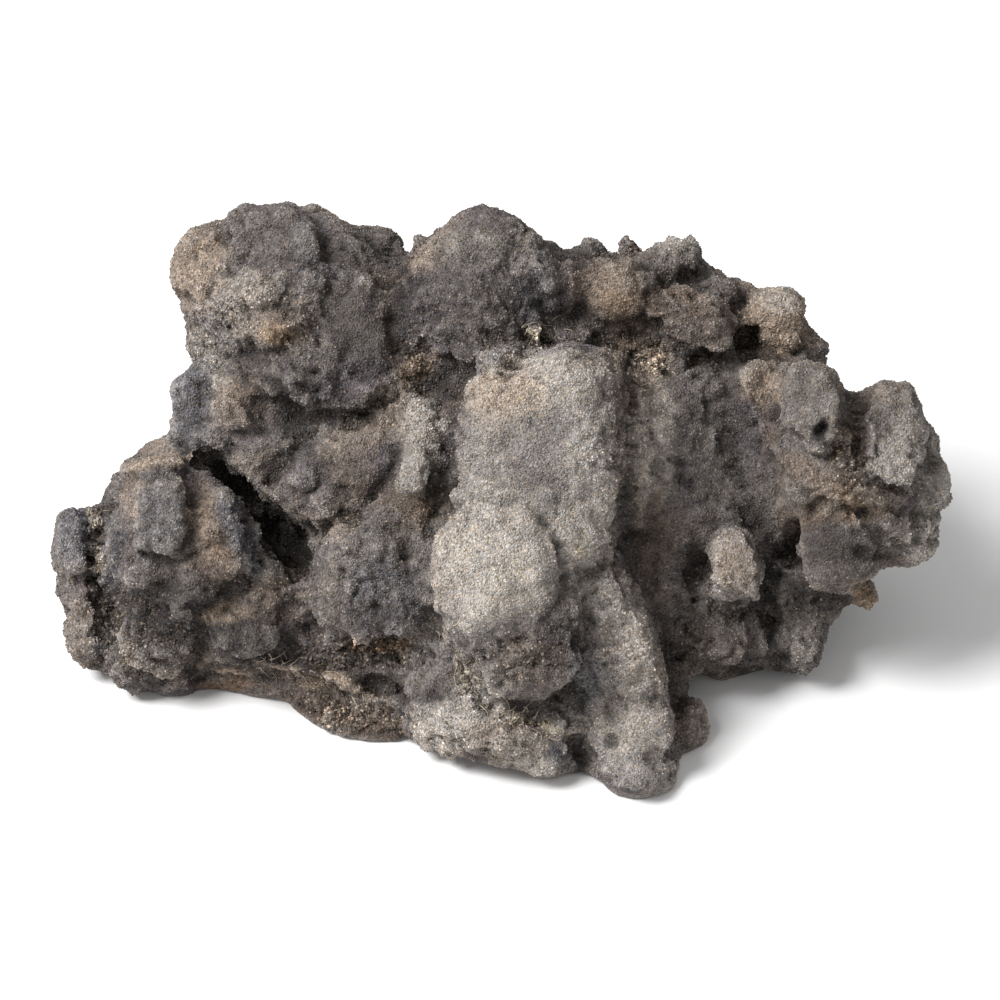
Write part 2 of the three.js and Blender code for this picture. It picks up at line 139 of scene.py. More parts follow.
GROOVES = [
    # path, half width, depth
    ([(-62, 29), (-68, 20), (-74, 11), (-80, 4)], 6, 4),
    ([(-62, -10), (-52, -7), (-45, -1), (-38, 5)], 4, 3),
    ([(-36, 80), (-36, 68), (-34, 54), (-28, 44)], 7, 3),
    ([(80, -2), (85, -12), (89, -25), (90, -42), (95, -57)], 3.4, 5),
    ([(96, -6), (95, -17), (98, -28)], 4, 4), ([(22, 4), (24, -6), (28, -16)], 2, 1.2),
    ([(-130, 0), (-134, -13), (-134, -26), (-129, -38), (-129, -50)], 3.4, 4.5),
    ([(-36, 31), (-35, 14), (-39, 2)], 4, 1.6), ([(117, -18), (125, -18.5), (133, -17)], 2.6, 3),
    ([(134.5, -4), (134, -12)], 1.8, 1.6), ([(139.5, -3), (140, -11)], 1.8, 1.6),
    ([(58, 15), (62, 7), (66, 3)], 2.4, 1.6), ([(10, 74), (14, 64), (20, 56)], 4.5, 3.6),
    ([(82, 58), (83, 48)], 3, 4), ([(27, -77), (27.5, -90)], 2.4, 4),
    ([(-100, -35), (-99, -45), (-101, -58)], 3.2, 2.6),
    ([(-100, 60), (-90, 52), (-80, 47)], 3.5, 1.8), ([(76, 30), (78, 14), (80, 2)], 5, 1.6),
    ([(-17.5, 28), (-18, 12), (-21, -2), (-25, -14)], 3, 2.4),
    ([(50, 66), (56, 66), (66, 70)], 2.6, 2.6), ([(52, 44), (66, 46), (78, 47)], 3, 3.4),
    ([(117, 33), (119, 22), (121, 10)], 3, 2.6), ([(141, 24), (141, 12), (139, 0)], 2.4, 2.4),
]
SLOTS = [
    # path, half width, depth
    ([(-97, 13), (-91, 8), (-85, 3), (-80, -1), (-76, -5)], 2.8, 11),
    ([(-77, -3), (-72, -12), (-68, -19), (-64, -27)], 5, 7),
]
PITS = [
    # depth, oval
    (3, -69, 30, 6, 3, -25), (2.4, 36, -80, 2.8, 2.4), (2, 50, -85, 2.4, 2.4), (2, 53, -92, 2.6, 2),
    (5, 106, 23, 2.2, 5, -15), (-2.2, 111, 24, 2.6, 6, -10), (2.2, 61, 12, 4, 1.5),
    (2, 62, 6, 5, 1.4, -25), (3, 109.5, 17.5, 3.6, 1.6, 10), (3.6, 25.5, -47, 2.6, 6),
    (2.6, 3, -67, 5, 2), (1.6, 64, -23, 4, 9, -12), (1.4, 66, -33, 4, 3, 20),
    (2, 78, -33.5, 4.5, 1.8), (3, 96, -17, 3, 5), (-5, 21, -22, 12, 23, -10),
    (-2.4, 32, -18, 9, 14, 18), (-4.2, 29, -56, 8, 17, 14), (-3.2, 4, 0, 20, 9),
    (-2.6, 12, -6, 10, 7, -20), (-3, 18, -41, 11, 12), (-2.6, 45, 14, 7, 26), (-3, -25, 16, 12, 20),
    (-2, -4, -66, 9, 5, -30), (1.8, -36, -38, 7, 4, -20), (1.2, -52, -22, 4, 3, 30),
    (3.5, -45, -53, 16, 4, 3), (3.6, -20, 39, 11, 5.5), (3, 69, 47, 6, 2.4), (2, 49, 46, 6, 6),
    (1.8, -45, -32, 2.4, 2), (1.8, -37, -31, 2.2, 2.4), (3, 62, 74, 2.4, 4, -30),
]

# Lobes that grow out of the skin: rise above it, oval, squareness.
LOBES = [
    # the crown
    (3, -104, 73, 6.5, 6, 0, 2), (3, -97, 84, 10, 8, 10), (2.4, -77, 90, 16, 10),
    (3.4, -63, 85, 5.5, 7.5, 20, 2.6), (2, -79, 71, 10, 9), (2.6, -74, 57, 13, 5.5, 8),
    (2.4, -92, 57, 13, 5, -48), (1.6, -50, 58, 13, 22, 12, 3), (2.2, -66, 40, 15, 7, -25),
    (2, -45, 35, 9, 6, 20), (2.4, -39, 84, 7.5, 7),
    # the left shelf
    (2.6, -104, 35, 6, 8), (2.6, -105, 22, 5, 6.5), (2.8, -86, 30, 8, 9.5), (2.4, -70, 19, 7, 7.5),
    (2.2, -97, 19, 8, 4.5, -25),
    # the left end
    (3.2, -113, -6, 9, 13, -5, 8), (2.2, -114, 11.5, 13, 4, 10, 3), (2.6, -118, -24, 9, 6),
    (1.8, -126, -10, 3.5, 6, 0, 2), (3, -142, -14, 7, 13, 8), (2.8, -138, -44, 6.5, 13),
    (3.2, -114, -45, 13, 13.5, 0, 2.6), (2.2, -85, -45, 13.5, 8.5, 4, 2.8),
    (2.2, -62, -58, 20, 3, -14, 2.6), (2.6, -108, -60, 8, 6), (2, -93, -13, 9, 16, 16, 3.4),
    # the slab and the low dome
    (2.4, -65, 9, 6.5, 7), (2.4, -59, -3, 6, 6.5), (1.6, -48, 15, 12, 13, 0, 3),
    (2.6, -29, 8, 7, 8, 0, 2.2), (1.6, -26, 24, 8, 10, 0, 2.6), (2.2, -46, -25, 15, 18, 0, 2.6),
    (2, -33, -36, 8, 12), (2, -62, -38, 4, 5, 0, 2), (2.4, -50, -45, 9, 5),
    # the dome
    (2, -26, 85, 5, 4, 0, 2), (1.8, -6, 84, 13, 8), (2.2, 23, 70, 4.5, 10),
    (1.4, -21, 38, 7, 4, 0, 2),
    # the spine
    (1, 14, 24, 26.5, 26, 0, 4), (0.8, 12, -2, 25, 16, 0, 3.5), (1.2, 5, 38, 14, 7, 18, 2.6),
    (1.4, 31, 2, 8, 17, 0, 3), (0.7, -3, -25, 19, 23, 6, 2.6), (0.8, 8, -48, 17, 18, -6, 3),
    (0.8, 18, -36, 10, 16, -4, 2.8), (2.8, 13, 55, 4, 4.5, 0, 2), (0.8, 39, -44, 12, 24, 24, 4),
    (1, 33, -20, 8.5, 15, 18, 3), (2.2, 48, -76, 11, 11, 0, 2.6), (2, 46, -92, 9, 7),
    (2.4, 63, -75, 6.5, 9), (1.4, -4, -76, 20, 9, -12, 2.8), (1.2, 12, -86, 11, 6, -14, 2.6),
    (2.6, 20.5, -83.5, 5, 5, 0, 2.2),
    # the top edge
    (2, 30, 85, 4.5, 3.5, 0, 2), (2, 43, 85, 3.5, 2.5, 0, 2), (3.2, 38, 70, 11.5, 11.5, 0, 3),
    (2.4, 49, 73, 4.5, 4, 0, 2), (2.8, 59, 80, 9, 8), (2.8, 73, 68, 7, 6.5),
    (4.2, 65, 59, 15.5, 9.5, -28, 3.2), (2.2, 71, 46, 3, 3, 0, 2), (3, 92, 60, 11, 11.5, 0, 2.6),
    # the hollow
    (1.4, 46, 12, 5, 24), (1.4, 70, 14, 5, 16), (2.6, 73, -47, 11, 10, 0, 2.6),
    (1.6, 86, 0, 4, 10, 15),
    # the right end
    (1.2, 85, 38, 8.5, 9, 20, 3), (4.2, 104, 33, 10, 13, -6, 3), (3.2, 108, 21, 6, 7, 0, 2.2),
    (2.8, 131, 32, 9.5, 7, 0, 2.6), (2, 131, 21, 11, 18, 0, 2.8), (2.8, 131, 13, 9, 10.5, 0, 2.6),
    (2.6, 142, 20, 4.5, 6), (2.6, 146, 6, 4, 10.5), (4, 112, -17, 15, 12, 10, 3.2),
    (2, 124, -8, 9, 5, 15, 2.4), (2.6, 135, -9, 4, 6, 0, 2), (2.6, 142, -9, 4, 7, 0, 2),
    (2.4, 137, -18, 6.5, 4.5, 15, 2), (2, 121, -33, 4, 4.5, 0, 2), (1.6, 101, 3, 7, 6, -30),
    (1.6, 79, -21.5, 9.5, 11.5, -4, 5), (2.4, 100, -46, 8.5, 12, -10, 2.6),
]
TURN_AND_SQUARENESS = (0, 2.3)  # of a lobe that leaves them out
LOBES = [(*lobe, *TURN_AND_SQUARENESS[len(lobe) - 5 :]) for lobe in LOBES]

# How crumbly the crust is: strength, oval.
CRUMBLY = [
    (0.15, -92, 68, 20, 26), (0.3, -95, 30, 18, 18), (0.6, -29, 52, 8, 16), (1.5, -45, -51, 24, 7),
    (0.3, -110, -50, 30, 14), (1.2, -134, -22, 4, 30), (1, -50, -72, 26, 9), (0.3, 8, -52, 15, 12),
    (-0.6, 31, -2, 9, 18), (-0.4, -48, 57, 14, 18), (0.6, -10, -64, 12, 4), (0.3, -4, -80, 24, 9),
    (0.9, 10, -73, 14, 3), (0.4, -10, -60, 6, 6), (1.2, 12, 54, 6, 6), (-0.4, -113, -6, 10, 14),
    (1.5, 49, 46, 9, 9), (0.9, 40, 84, 14, 5), (0.7, 115, 13, 8, 16), (-0.9, -3, -28, 22, 22),
    (-0.5, 15, 20, 24, 32), (-0.6, -28, 15, 8, 18), (-0.3, -48, 14, 20, 18),
    (0.2, -44, -26, 18, 18), (-0.5, 79, -21, 10, 12), (-0.3, 60, 10, 18, 30),
    (-0.7, 102, 33, 14, 14), (-0.6, 131, 24, 12, 20), (-0.6, 146, 5, 6, 12),
    (-0.5, 112, -17, 18, 12), (-0.3, 46, -78, 14, 18),
]

# Rootlets that cling to the crust: the path they lie along, how far to its sides, their number.
ROOTLETS = [
    ([(22, 4), (25, -8), (29, -19), (34, -30)], 1.2, 8),
    ([(-20, -40), (-13, -51), (-6, -63), (6, -71), (24, -76)], 2.4, 44),
    ([(-134, -1), (-134.5, -14), (-131, -26)], 1.6, 26), ([(5, 52), (11, 56), (17, 53)], 2.6, 22),
    ([(36, 49), (44, 47), (52, 42)], 3.4, 20), ([(-82, -53), (-64, -57), (-44, -65)], 2.2, 30),
    ([(-108, 12), (-98, 13)], 2, 8),
]

COARSE = 1.25  # the size of the faces while the forms are modelled, times their size at the end
HIDDEN_BY = 2.5 * MM  # how far behind the skin a vertex counts as hidden
CURVE_STEPS = 6  # from one point of a path to the next

# What roughens the skin, by its size in millimetres.
LUMP, CRUMB, BROAD_LUMP, CRAG, PIT = 10, 4.6, 24, 9, 3.6
SWELL, SMALL_SWELL, WARP = 13, 6, 15


def numbers(rows, what, width=1, kind=np.float32):
    """One property of a mesh's vertices, edges, corners or faces, in a flat array."""
    found = np.empty(len(rows) * width, kind)
    rows.foreach_get(what, found)
    return found


def read(mesh, what):
    """The vertices' places or normals as rows."""
    return numbers(mesh.vertices, what, 3).reshape(-1, 3).astype(float)


def write(mesh, points):
    """Puts the vertices at new places."""
    mesh.vertices.foreach_set("co", points.astype(np.float32).ravel())
    mesh.update()


def edges_of(mesh):
    """Both ends of every edge."""
    return numbers(mesh.edges, "vertices", 2, np.int32).reshape(-1, 2).T


def tree_of(mesh):
    """The mesh as a tree that lines of sight are cast at."""
    work = bmesh.new()
    work.from_mesh(mesh)
    tree = BVHTree.FromBMesh(work)
    work.free()
    return tree


def evened(values, edges, turns):
    """Rows at the vertices, each moved halfway to its neighbours' mean a number of times."""
    a, b = edges
    size = len(values)
    count = np.bincount(np.r_[a, b], minlength=size).astype(float)[:, None]
    for _ in range(turns):
        sums = [np.bincount(a, v[b], size) + np.bincount(b, v[a], size) for v in values.T]
        values = values + 0.5 * (np.stack(sums, 1) / count - values)
    return values


def seen_from_show(mesh, points, normals):
    """How plainly each vertex is seen in the show view, from 0 to 1."""
    tree = tree_of(mesh)
    seen = np.zeros(len(points))
    for index, place in enumerate(points):
        ray = Vector(place) - EYE
        distance = ray.length
        hit = tree.ray_cast(EYE, ray / distance)[3]
        seen[index] = hit is not None and hit > distance - HIDDEN_BY
    return evened(seen[:, None], edges_of(mesh), 3)[:, 0] * facing(normals, 3, 0.4)


def curved(path):
    """A smooth curve through the points of a path."""
    points = np.array([path[0], *path, path[-1]], float)
    found = []
    for a, b, c, d in zip(points, points[1:], points[2:], points[3:]):
        for t in np.arange(CURVE_STEPS) / CURVE_STEPS:
            place = 2 * b + (c - a) * t
            place = place + (2 * a - 5 * b + 4 * c - d) * t * t
            found.append(0.5 * (place + (3 * b - a - 3 * c + d) * t**3))
    return np.array([*found, points[-2]])


def beside(path, right, up):
    """Each place's distance from a path, above zero on its left, and how well inside its ends."""
    curve = curved(path)
    best = np.full(len(right), 1e9)
    side, share = np.zeros(len(right)), np.zeros(len(right))
    for i, (start, end) in enumerate(zip(curve, curve[1:])):
        run = end - start
        t = ((right - start[0]) * run[0] + (up - start[1]) * run[1]) / (run @ run)
        t = np.clip(t, 0, 1)
        x, y = right - start[0] - t * run[0], up - start[1] - t * run[1]
        distance = np.hypot(x, y)
        closer = distance < best
        best[closer] = distance[closer]
        side[closer] = np.sign(run[0] * y - run[1] * x)[closer]
        share[closer] = ((i + t) / (len(curve) - 1))[closer]
    return best * side, np.clip(5 * np.minimum(share, 1 - share) + 0.15, 0, 1)


def oval(right, up, x, y, across, high, turn=0):
    """How far out each place is in an oval: 0 at its middle, 1 on its edge."""
    c, s = math.cos(math.radians(turn)), math.sin(math.radians(turn))
    u = ((right - x) * c + (up - y) * s) / across
    v = ((up - y) * c - (right - x) * s) / high
    return np.hypot(u, v)


def noise_at(points, wave, seed):
    """Soft noise from about -1 to 1 at every point."""
    shift = Vector((seed * 7.1, seed * 3.7, seed * 5.3))
    return np.array([noise.noise(Vector(p) / (wave * MM) + shift) for p in points])


def wavering_places(points, far, seed):
    """The points' show places, moved a little so that no outline comes out too true."""
    right, up = show_places(points)
    return right + far * noise_at(points, 8, seed), up + far * noise_at(points, 8, seed + 1)


def on_skin(tree, right, up):
    """The place of the skin at right and up of the layout, or as deep as the skin next to it."""
    aim = sight_place(right, up)
    inwards = (SIGHT - aim).normalized() * MM
    for step in range(16):
        place = skin_behind(tree, aim + inwards * step)
        if place is not None:
            return place - inwards * step
    raise RuntimeError(f"no skin near {right}, {up}")


def fewer_hidden_faces(piece, faces):
    """Leaves about so many triangles, taken away only where the show view does not see them."""
    mesh = piece.data
    seen = seen_from_show(mesh, read(mesh, "co"), read(mesh, "normal"))
    hidden = piece.vertex_groups.new(name="hidden")
    hidden.add([int(i) for i in np.flatnonzero(seen < 0.01)], 1.0, "REPLACE")
    fewer = piece.modifiers.new("fewer faces", "DECIMATE")
    fewer.ratio = min(faces / sum(len(face.vertices) - 2 for face in mesh.polygons), 1)
    fewer.vertex_group = hidden.name
    mesh = apply_modifiers(piece)
    piece.vertex_groups.clear()
    return mesh


def grow_lobes(mesh, stand):
    """Adds the lobes as closed forms that stand in the skin, each one's rise times stand."""
    tree = tree_of(mesh)
    work = bmesh.new()
    work.from_mesh(mesh)
    lobe_frame = Matrix((RIGHT, UP, BACK)).transposed().to_4x4()
    for rise, right, up, across, high, turn, square in LOBES:
        deep = 0.75 * (across + high) / 2 + 2
        form = bmesh.ops.create_icosphere(work, subdivisions=3, radius=1)["verts"]
        for vert in form:
            p = vert.co
            size = sum(abs(c) ** square for c in p) ** (1 / square)
            swell = 1 + 0.16 * noise.noise(1.6 * p + Vector((right, up, 0)))
            vert.co = p * swell / size
        matrix = (
            Matrix.Translation(on_skin(tree, right, up) + BACK * ((rise * stand - deep) * MM))
            @ lobe_frame
            @ Matrix.Rotation(math.radians(turn), 4, "Z")
            @ Matrix.Diagonal((across * MM, high * MM, deep * MM, 1))
        )
        bmesh.ops.transform(work, matrix=matrix, verts=form)
    work.to_mesh(mesh)
    work.free()


def lobe_creases(right, up):
    """How deep in a crease round a lobe each place lies, 0 to 1, most below it and on its right."""
    edge = np.stack(
        [(oval(right, up, *lobe[1:6]) - 1.08) * (lobe[3] + lobe[4]) / 2 for lobe in LOBES]
    )
    proud = np.array([min(max(lobe[0] - 0.8, 0.1) / 1.8, 1) for lobe in LOBES])
    middles = np.array([lobe[1:3] for lobe in LOBES])
    order = np.argsort(edge, axis=0)
    rows = np.arange(len(right))
    crease = np.zeros(len(right))
    for rank in range(2):
        one = order[rank]
        other = edge[order[1 - rank], rows]
        away = np.c_[right, up] - middles[one]
        away /= np.linalg.norm(away, axis=1)[:, None] + 1e-9
        lee = np.clip(0.55 + 0.45 * (away[:, 0] - away[:, 1]), 0.15, 1)
        ring = np.clip(1 - np.abs(edge[one, rows]) / 2.8, 0, 1)
        crease = np.maximum(crease, proud[one] * ring * lee * np.clip(1 + other / 4, 0, 1))
    return crease


def sculpt(mesh, settings):
    """Works the ledges, grooves, creases, pits and slots into the skin that the show view sees."""
    points, normals = read(mesh, "co"), read(mesh, "normal")
    normals = evened(normals, edges_of(mesh), 8)
    normals /= np.linalg.norm(normals, axis=1)[:, None] + 1e-9
    seen = seen_from_show(mesh, points, normals)
    right, up = wavering_places(points, 1.6, 1)
    move, cut = np.zeros(len(points)), np.zeros(len(points))
    for path, lip, drop, lip_width, drop_width in LEDGES:
        side, ends = beside(path, right, up)
        raised = lip * np.exp(-np.abs(side) / lip_width)
        sunk = -drop * np.exp(-np.abs(side) / drop_width)
        high = np.clip(0.5 + side / 2.4, 0, 1)
        move += settings.stroke * ends * (raised * high + sunk * (1 - high))
    for path, half, depth in GROOVES:
        side, ends = beside(path, right, up)
        move -= settings.stroke * ends * depth * np.clip(1 - np.abs(side) / half, 0, 1) ** 1.3
    move -= settings.crease / MM * lobe_creases(right, up)
    for depth, *shape in PITS:
        move -= depth * np.clip(1 - oval(right, up, *shape) ** 2, 0, 1) ** 0.8
    for path, half, depth in SLOTS:
        side, ends = beside(path, right, up)
        cut = np.maximum(cut, ends * depth * np.clip(1.6 * (1 - np.abs(side) / half), 0, 1))
    moves = normals * move[:, None] - np.array(BACK) * cut[:, None]
    write(mesh, points + moves * seen[:, None] * MM)


def crumbliness(points, normals):
    """How crumbly the crust is at every point, from 0.2 to 2."""
    right, up = show_places(points)
    front = facing(normals, 3, 0.5)
    rough = 0.75 + 0.6 * noise_at(points, 30, 3)
    for strength, *shape in CRUMBLY:
        rough += front * strength * np.clip(1.5 * (1 - oval(right, up, *shape)), 0, 1)
    return np.clip(rough, 0.2, 2)


def seam(place, most):
    """How far a place is from the seam between two cells, up to most."""
    nearest, second = noise.voronoi(place)[0][:2]
    return min(second - nearest, most)


def roughen(mesh, settings):
    """Covers the skin with small lumps, crust and pits, all weaker at the flats it rests on."""
    points, normals = read(mesh, "co"), read(mesh, "normal")
    rough = crumbliness(points, normals)
    noise.seed_set(settings.seed)
    away = facing(normals, -2, 0.2)
    move = np.zeros(len(points))
    for i, place in enumerate(points):
        p = Vector(place) / MM
        q = p + noise.noise_vector(p / WARP) * 4
        lump = seam(q / LUMP, 0.5) / 0.5
        crumb = seam(q / CRUMB + Vector((3, 3, 3)), 0.45) / 0.45
        swell = noise.noise(q / SWELL) + 0.5 * noise.noise(q / SMALL_SWELL)
        broad = seam(q / BROAD_LUMP + Vector((5, 1, 8)), 0.6)
        crag = noise.ridged_multi_fractal(p / CRAG, 0.8, 2.2, 3, 1.0, 2.0) - 1.1
        pit = noise.noise(p / PIT + Vector((9, 2, 4)))
        r = rough[i]
        move[i] = (
            settings.lump / MM * (lump - 0.6) * (0.4 + 0.6 * r)
            + settings.swell / MM * swell
            + settings.crag / MM * crag * r
            + 2.4 * settings.lump / MM * (broad - 0.35) * away[i]
            + settings.crumb / MM * (crumb - 0.6) * r
            - settings.crumb / MM * 1.6 * max(pit - 0.28, 0) * 3 * r
        )
    flat = np.clip((points[:, 2] / MM - 0.3) / 4, 0, 1)
    points = points + normals * (move * flat)[:, None] * MM
    points[:, 2] = np.maximum(points[:, 2], 0)
    write(mesh, points)


# ---- colouring

# The crust's own colours, as they are under plain light. Black also serves as painted shade in the
# crust's pits, grooves, crevices and dips, dark as painted shade in its broad dips, and pale as
# painted light on its rises.
COLOURS = {
    "grey": (0.150, 0.136, 0.126),
    "dark": (0.075, 0.066, 0.064),
    "violet": (0.102, 0.091, 0.098),
    "blue": (0.108, 0.110, 0.126),
    # used mostly as painted shade in the pits, grooves, crevices and dips
    "black": (0.024, 0.021, 0.021),
    "pale": (0.360, 0.335, 0.310),
    "beige": (0.330, 0.280, 0.235),
    "tan": (0.270, 0.215, 0.170),
    "ochre": (0.260, 0.180, 0.110),
    "rust": (0.200, 0.115, 0.065),
    "brown": (0.125, 0.095, 0.075),
    "umber": (0.090, 0.068, 0.053),
    "cream": (0.480, 0.430, 0.350),
}

# Soft clouds of them all over the crust: colour, strength, size, seed, and what is added.
CLOUDS = [
    ("dark", 1.3, 26, 1, 0.5), ("brown", 1.4, 19, 2, 0), ("violet", 1.5, 21, 7, 0),
    ("tan", 1.5, 23, 3, -0.3), ("pale", 1.6, 34, 4, -0.35),
]

# The relief at these scales also sets the crust's painted shade in its dips and painted light on
# its rises.
RELIEF_FOR_PAINTED_SHADE = (4, 60, 240)  # turns of evening that tell the grain, the lumps and the forms

# Patches of them on the show side: colour, strength in hundredths, oval. Most black ones are
# painted shade, laid in the pits, slots, grooves and crevice and under the overhangs.
PATCHES = [
    # the crown
    ("tan", 70, -101, 77, 11, 15), ("grey", 40, -86, 62, 13, 13), ("tan", 25, -80, 64, 9, 12, 20),
    ("brown", 60, -70, 59, 9, 10), ("ochre", 60, -74, 55, 5, 3.5), ("grey", 60, -78, 86, 16, 9),
    ("dark", 35, -74, 85, 14, 8), ("grey", 50, -64, 84, 5, 8, 20), ("blue", 35, -64, 84, 5, 8, 20),
    ("dark", 90, -49, 58, 13, 22, 12), ("dark", 100, -66, 39, 22, 8, -20),
    ("black", 45, -64, 38, 18, 5, -15), ("violet", 60, -50, 40, 14, 7, 20),
    ("black", 60, -55, 27, 18, 3, 10), ("dark", 80, -39, 83, 8, 9), ("umber", 95, -31, 58, 8, 18),
    ("black", 95, -30, 60, 7, 17),
    # the dome
    ("violet", 95, -6, 60, 25, 22), ("dark", 95, -5, 62, 21, 16), ("grey", 80, -10, 84, 15, 8),
    ("blue", 50, 13, 68, 8, 10), ("dark", 40, 14, 66, 8, 12), ("black", 85, -19, 39, 11, 5),
    ("ochre", 30, -27, 44, 8, 4, 30), ("cream", 80, 12, 54, 4, 4),
    # the left shelf
    ("blue", 90, -103, 30, 8, 17), ("dark", 40, -103, 26, 8, 13), ("brown", 60, -84, 30, 11, 10),
    ("violet", 70, -86, 20, 11, 6), ("tan", 40, -89, 37, 5, 5), ("black", 70, -68, 20, 5, 11, 30),
    # the left end
    ("grey", 60, -113, -6, 9, 15, -8), ("blue", 45, -113, -6, 9, 14, -5),
    ("tan", 50, -122, 2, 3, 10, -10), ("tan", 70, -109, 13.5, 15, 2.5, 8),
    ("brown", 85, -97, -10, 7, 18, 12), ("tan", 25, -96, -8, 5, 14, 12),
    ("blue", 70, -86, -12, 5, 18, 25), ("black", 35, -80, -14, 4, 14, 28),
    ("brown", 50, -74, -35, 9, 9), ("tan", 30, -78, -30, 9, 5, 20), ("dark", 95, -108, -38, 22, 16),
    ("black", 75, -106, -37, 20, 10), ("ochre", 40, -92, -36, 7, 3, 10),
    ("dark", 95, -85, -46, 14, 9), ("black", 65, -84, -47, 13, 8),
    ("black", 80, -86, -54, 18, 2.5, 5), ("tan", 60, -90, -38, 11, 3, 5),
    ("rust", 45, -91, -61, 12, 2.5), ("blue", 85, -141, -12, 7, 12), ("tan", 30, -139, -45, 6, 14),
    ("cream", 70, -134, -14, 1.5, 12, 8), ("blue", 60, -130, -28, 4, 24, -6),
    ("black", 60, -130, -28, 2, 22, -6),
    # the slab and the low dome
    ("tan", 40, -46, 20, 14, 8, 30), ("dark", 50, -54, 8, 14, 10, 30), ("pale", 60, -25, 23, 8, 12),
    ("pale", 40, -29, 8, 7, 8), ("brown", 40, -36, 32, 5, 10), ("violet", 60, -66, 6, 9, 10),
    ("grey", 50, -42, -22, 18, 18), ("blue", 50, -38, -32, 13, 14, 30),
    ("tan", 25, -64, -32, 4, 10, -25), ("dark", 30, -59, -30, 6, 10),
    ("tan", 40, -52, -10, 8, 3, 30), ("dark", 60, -40, -37, 14, 7), ("black", 50, -46, -52, 20, 3),
    ("rust", 70, -40, -48, 12, 2.5), ("umber", 70, -52, -73, 26, 9, -14),
    ("tan", 80, -62, -59, 20, 3, -14), ("black", 50, -68, -53, 14, 2, -6),
    # the spine
    ("pale", 45, 15, 8, 25, 42), ("violet", 25, 14, 8, 11, 15), ("pale", 45, 30, 6, 9, 30),
    ("pale", 70, 12, 40, 24, 11), ("beige", 80, 3, 35, 13, 11, 10), ("tan", 35, -1, 36, 11, 7, 20),
    ("pale", 85, -4, -23, 20, 25, 6), ("beige", 50, 2, -25, 9, 13), ("cream", 30, -8, -18, 8, 10),
    ("pale", 100, 1, -24, 11, 15), ("cream", 25, 3, -27, 8, 10), ("pale", 50, -8, 10, 8, 14),
    ("grey", 75, 10, -51, 17, 14), ("dark", 95, 19, -46, 7, 14), ("blue", 60, 29, -60, 7, 10),
    ("brown", 45, 10, -54, 14, 9), ("black", 80, 25, -47, 2.5, 6), ("black", 25, 20, -49, 7, 10),
    ("black", 70, 6, -68, 8, 1.8), ("pale", 55, 42, -44, 9, 22, 24),
    ("cream", 80, 27, -17, 1.5, 5, -20), ("cream", 70, -10, -60, 9, 1.5, -48),
    ("cream", 30, -7, -67, 9, 4, -30), ("cream", 70, 11, -74, 13, 1.5, -16),
    ("pale", 80, -18, -76, 13, 9, -10), ("pale", 95, -6, -68, 11, 6, -30),
    ("tan", 50, 4, -80, 17, 8, -14), ("grey", 30, 2, -81, 11, 6, -10),
    ("pale", 30, 8, -84, 16, 8, -14), ("pale", 40, 12, -88, 10, 5, -14),
    ("pale", 60, 45, -78, 15, 17), ("blue", 30, 44, -90, 8, 6), ("blue", 80, 20.5, -84, 5, 5),
    ("dark", 40, 20.5, -84, 5, 5), ("black", 80, 27, -84, 1.6, 8), ("brown", 50, 62, -74, 6, 8),
    # the hollow
    ("grey", 60, 50, 14, 10, 30), ("tan", 60, 49, 16, 8, 26), ("pale", 80, 50, 18, 8, 22),
    ("pale", 65, 32, -4, 7, 16), ("brown", 50, 51, -12, 7, 18), ("violet", 70, 68, 12, 9, 26),
    ("dark", 75, 84, 4, 7, 22, 12), ("violet", 60, 80, 22, 6, 14, 12), ("grey", 75, 70, 14, 8, 22),
    ("black", 60, 61, 11.5, 4, 1.2), ("black", 60, 62, 5.5, 5, 1.1, -25),
    ("black", 75, 63, -24, 6, 12), ("dark", 80, 58, -42, 8, 12), ("dark", 65, 72, -46, 12, 11),
    ("black", 35, 65, -36, 8, 6), ("black", 70, 78, -34.5, 4.5, 1.6),
    ("black", 80, 90, -24, 2.5, 22, 8), ("black", 80, 96, -17, 3, 8), ("beige", 50, 79, -20, 8, 11),
    ("rust", 15, 77, -22, 5, 7),
    # the top edge
    ("ochre", 30, 43, 48, 12, 8), ("pale", 30, 40, 44, 8, 6), ("brown", 60, 45, 34, 9, 7),
    ("tan", 60, 39, 71, 10, 10), ("ochre", 30, 40, 66, 8, 6), ("grey", 60, 58, 80, 11, 9),
    ("pale", 50, 60, 86, 9, 4), ("brown", 70, 65, 59, 14, 9, -35), ("dark", 40, 65, 59, 12, 8, -35),
    ("black", 80, 68, 47, 9, 2), ("tan", 95, 92, 58, 14, 13), ("pale", 50, 96, 66, 9, 5),
    # the right end
    ("tan", 80, 87, 38, 7, 8), ("grey", 80, 104, 32, 12, 16), ("pale", 30, 107, 28, 6, 8),
    ("dark", 25, 100, 33, 7, 9), ("brown", 60, 99, 10, 9, 7, -30), ("tan", 20, 101, 10, 8, 4, -35),
    ("umber", 80, 115, 12, 7, 18), ("tan", 30, 110, 0, 8, 5), ("black", 95, 106, 22.5, 2, 5, -15),
    ("ochre", 20, 119, 2, 8, 5), ("grey", 90, 131, 22, 11, 19), ("pale", 50, 133, 15, 11, 14),
    ("grey", 90, 146, 4, 6, 12), ("pale", 60, 144, 8, 7, 14), ("dark", 95, 112, -16, 16, 11, 8),
    ("black", 20, 112, -15, 13, 9, 8), ("ochre", 30, 119, -4, 7, 5, 20),
    ("black", 70, 125, -18.5, 9, 1.3, 5), ("pale", 80, 138, -13, 10, 9),
    ("pale", 45, 99, -44, 8, 13), ("ochre", 70, 121, -33, 5, 6),
    # the crevice, filled with painted shadow
    ("black", 100, -71, -13, 8, 15, 35), ("black", 100, -86, 3, 15, 4, -42),
]


